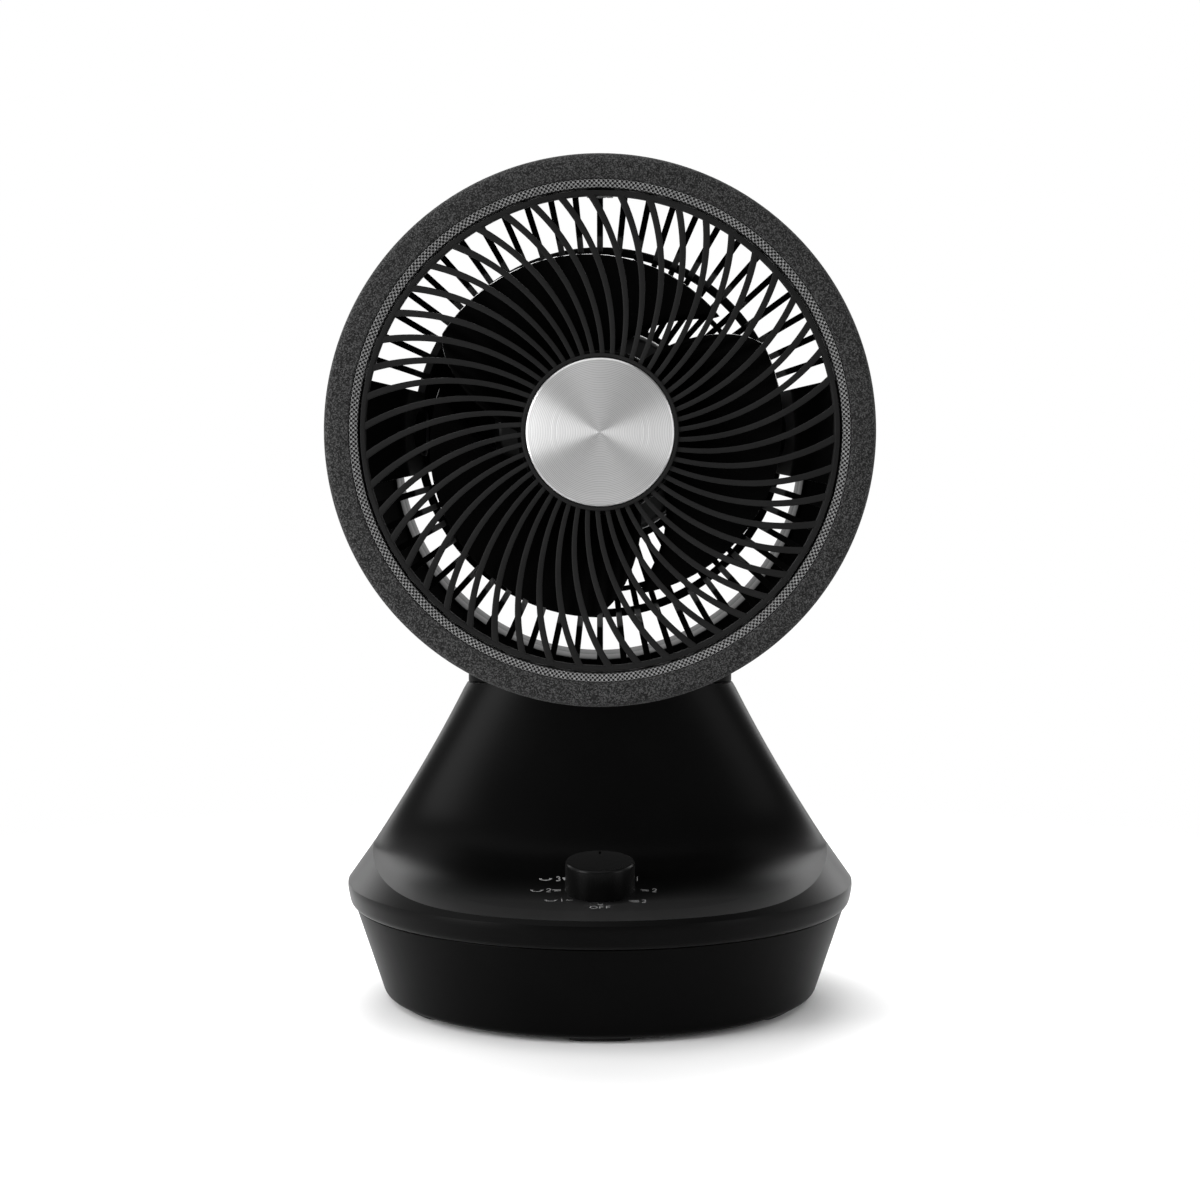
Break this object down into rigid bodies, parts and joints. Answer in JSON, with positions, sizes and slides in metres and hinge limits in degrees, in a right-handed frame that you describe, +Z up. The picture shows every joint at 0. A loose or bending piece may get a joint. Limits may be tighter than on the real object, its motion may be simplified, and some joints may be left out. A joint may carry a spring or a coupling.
{
  "type": "air circulator fan",
  "caption": "Table-top air circulator: a round fabric-edged fan head with a curved-rib grille tilts in a U-shaped yoke that swings on a round base with a control knob.",
  "frame": {"origin": "on the table surface, under the vertical axis of the round base, about which the yoke swings", "axes": "+Z up, -Y towards the front of the fan, +X towards its right as seen from the front"},
  "size_m": [0.25, 0.2464, 0.399],
  "materials": {
    "fabric_mesh": "heathered dark grey woven cloth",
    "trim_weave": "coarse black and grey woven band",
    "satin_plastic": "black, fine moulded satin",
    "gloss_plastic": "black, smooth moulded gloss",
    "matt_plastic": "black, plain matt moulding",
    "spun_aluminium": "spun, with fine concentric lines",
    "steel": "zinc-plated",
    "rubber": "matt moulded",
    "natural_nylon": "natural, waxy",
    "light_plastic": "light grey moulding",
    "circuit_board": "green solder mask"
  },
  "bodies": {
    "base": {"base_tub": "satin_plastic", "cord_inlet": "rubber", "top_cover": "satin_plastic", "control_board": "circuit_board", "run_capacitor": "light_plastic", "foot_1": "rubber", "foot_2": "rubber", "foot_3": "rubber", "foot_4": "rubber", "foot_5": "rubber", "foot_6": "rubber", "base_screw_1": "steel", "base_screw_2": "steel", "base_screw_3": "steel", "base_screw_4": "steel", "switch_body": "matt_plastic", "switch_nut": "steel", "swing_motor": "steel", "swing_motor_screw_1": "steel", "swing_motor_screw_2": "steel", "swivel_washer": "natural_nylon"},
    "knob": {"control_knob": "satin_plastic", "knob_shaft": "natural_nylon"},
    "pinion": {"swing_pinion": "natural_nylon"},
    "yoke": {"swivel_spindle": "steel", "spindle_gear": "natural_nylon", "spindle_clip": "steel", "yoke_front": "satin_plastic", "yoke_rear": "satin_plastic", "yoke_screw_1": "steel", "yoke_screw_2": "steel", "yoke_screw_3": "steel", "yoke_screw_4": "steel", "tilt_bush_left": "natural_nylon", "tilt_bush_right": "natural_nylon"},
    "head": {"tilt_pin_left": "steel", "tilt_pin_right": "steel", "tilt_nut_left": "steel", "tilt_nut_right": "steel", "fabric_ring": "fabric_mesh", "ring_frame": "matt_plastic", "trim_band": "trim_weave", "front_grille": "satin_plastic", "badge": "spun_aluminium", "grille_clip": "light_plastic", "rear_grille": "satin_plastic", "motor_housing": "matt_plastic", "fan_motor": "steel", "motor_screw_1": "steel", "motor_screw_2": "steel", "motor_screw_3": "steel", "motor_screw_4": "steel"},
    "impeller": {"impeller": "gloss_plastic", "motor_shaft": "steel", "impeller_nut": "matt_plastic"}
  },
  "joints": [
    {"name": "yoke_swing", "type": "hinge", "parent": "base", "child": "yoke", "pos_m": [0, 0, 0.153], "axis": [0, 0, 1], "range_deg": [-35, 35]},
    {"name": "pinion_spin", "type": "hinge", "parent": "base", "child": "pinion", "pos_m": [0.0243, 0, 0.142], "axis": [0, 0, 1], "range_deg": [-105, 105]},
    {"name": "head_tilt", "type": "hinge", "parent": "yoke", "child": "head", "pos_m": [0, 0, 0.274], "axis": [-1, 0, 0], "range_deg": [0, 90]},
    {"name": "blade_spin", "type": "hinge", "parent": "head", "child": "impeller", "pos_m": [0, -0.052, 0.274], "axis": [0, 1, 0], "continuous": true},
    {"name": "knob_turn", "type": "hinge", "parent": "base", "child": "knob", "pos_m": [0, -0.069, 0.06062], "axis": [0, -0.1392, 0.9903], "range_deg": [-180, 180]}
  ],
  "couplings": [
    {"joint": "pinion_spin", "follows": "yoke_swing", "ratio": -3}
  ]
}
